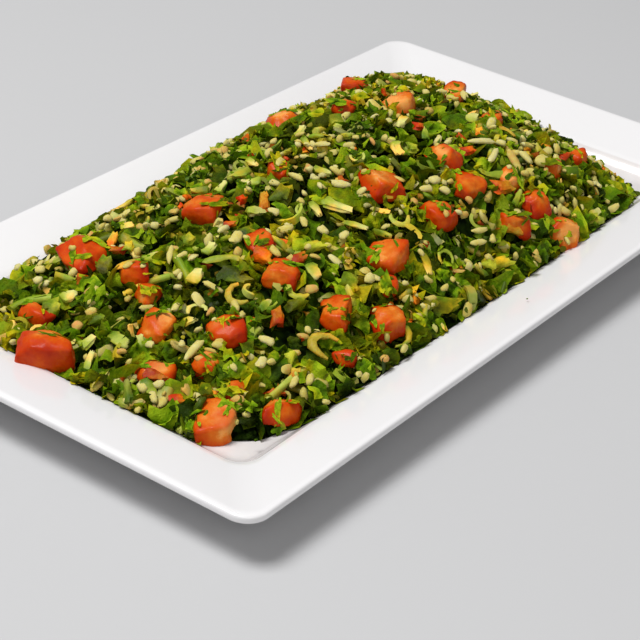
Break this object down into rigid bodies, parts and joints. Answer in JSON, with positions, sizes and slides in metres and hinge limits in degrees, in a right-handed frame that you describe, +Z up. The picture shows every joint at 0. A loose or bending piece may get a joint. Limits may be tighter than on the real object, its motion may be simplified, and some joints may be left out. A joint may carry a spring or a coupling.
{
  "type": "tabbouleh salad on a rectangular platter",
  "caption": "Chopped parsley and bulgur salad with diced tomato, heaped on a wide-rimmed white rectangular porcelain platter.",
  "frame": {"origin": "on the table, under the middle of the platter", "axes": "+X along the platter's long side, +Y along its short side, +Z up"},
  "size_m": [0.35, 0.19, 0.0526],
  "materials": {
    "porcelain": "gloss",
    "greens": "satin",
    "tomato": "satin",
    "bulgur": "satin",
    "scallion": "satin"
  },
  "bodies": {
    "root": {"platter": "porcelain", "salad": "greens", "tomato_01": "tomato", "tomato_02": "tomato", "tomato_03": "tomato", "tomato_04": "tomato", "tomato_05": "tomato", "tomato_06": "tomato", "tomato_07": "tomato", "tomato_08": "tomato", "tomato_09": "tomato", "tomato_10": "tomato", "tomato_11": "tomato", "tomato_12": "tomato", "tomato_13": "tomato", "tomato_14": "tomato", "tomato_15": "tomato", "tomato_16": "tomato", "tomato_17": "tomato", "tomato_18": "tomato", "tomato_19": "tomato", "tomato_20": "tomato", "tomato_21": "tomato", "tomato_22": "tomato", "tomato_23": "tomato", "tomato_24": "tomato", "tomato_25": "tomato", "tomato_26": "tomato", "tomato_27": "tomato", "tomato_28": "tomato", "tomato_29": "tomato", "tomato_30": "tomato", "tomato_31": "tomato", "tomato_32": "tomato", "tomato_33": "tomato", "tomato_34": "tomato", "tomato_35": "tomato", "tomato_36": "tomato", "tomato_37": "tomato", "tomato_38": "tomato", "tomato_39": "tomato", "tomato_40": "tomato"}
  },
  "joints": []
}
